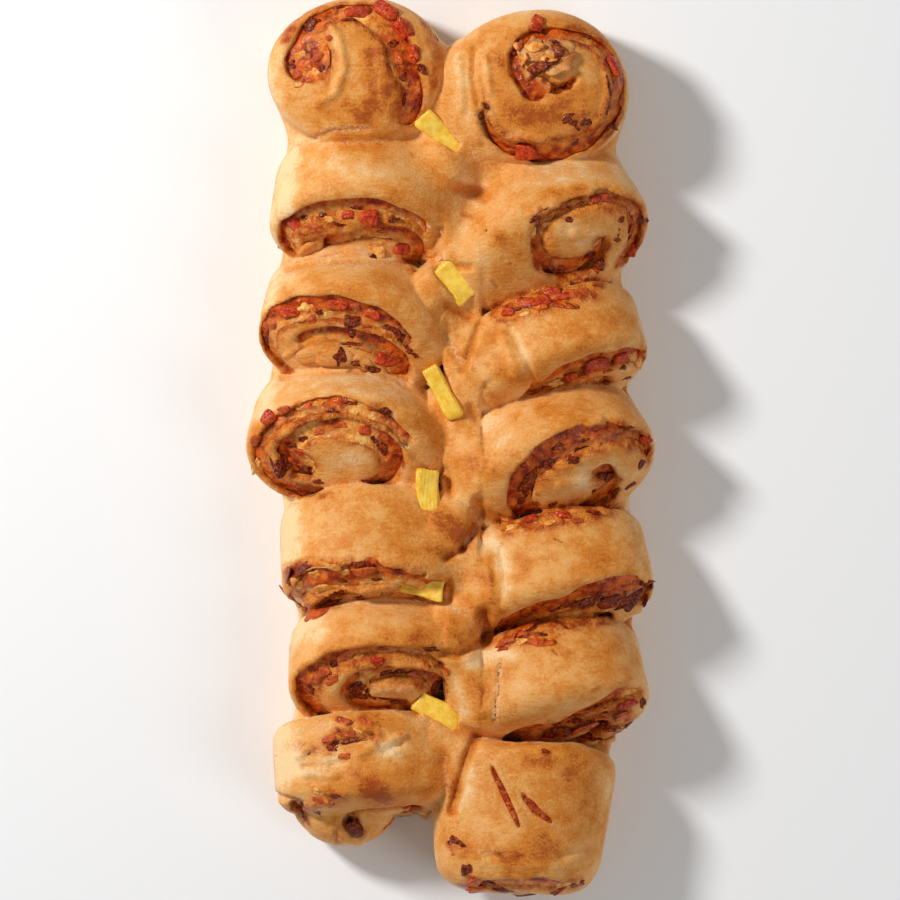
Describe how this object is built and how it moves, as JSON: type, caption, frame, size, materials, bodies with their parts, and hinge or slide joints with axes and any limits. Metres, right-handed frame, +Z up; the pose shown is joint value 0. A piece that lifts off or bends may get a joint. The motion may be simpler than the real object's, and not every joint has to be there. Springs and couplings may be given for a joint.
{
  "type": "pull-apart bread",
  "caption": "Baked pull-apart loaf: slices of a filled dough log fanned left and right along a valley, with pineapple chunks pressed between them.",
  "frame": {"origin": "middle of the loaf's footprint, on its flat base", "axes": "+Z up from the base; +Y along the loaf, towards the end whose slices lie face up; +X towards the right-hand column"},
  "size_m": [0.1785, 0.3948, 0.0616],
  "materials": {
    "crust": "matte baked crust, golden brown with paler dough in the creases",
    "filling": "glossy baked tomato sauce with cheese and ham dice",
    "pineapple": "moist, fibrous"
  },
  "bodies": {
    "root": {"bread": "crust", "filling_left_1": "filling", "filling_left_2": "filling", "filling_left_3": "filling", "filling_left_4": "filling", "filling_left_5": "filling", "filling_left_6": "filling", "filling_left_7": "filling", "filling_right_1": "filling", "filling_right_2": "filling", "filling_right_3": "filling", "filling_right_4": "filling", "filling_right_5": "filling", "filling_right_6": "filling", "filling_right_7": "filling", "pineapple_1": "pineapple", "pineapple_2": "pineapple", "pineapple_3": "pineapple", "pineapple_4": "pineapple", "pineapple_5": "pineapple", "pineapple_6": "pineapple"}
  },
  "joints": []
}
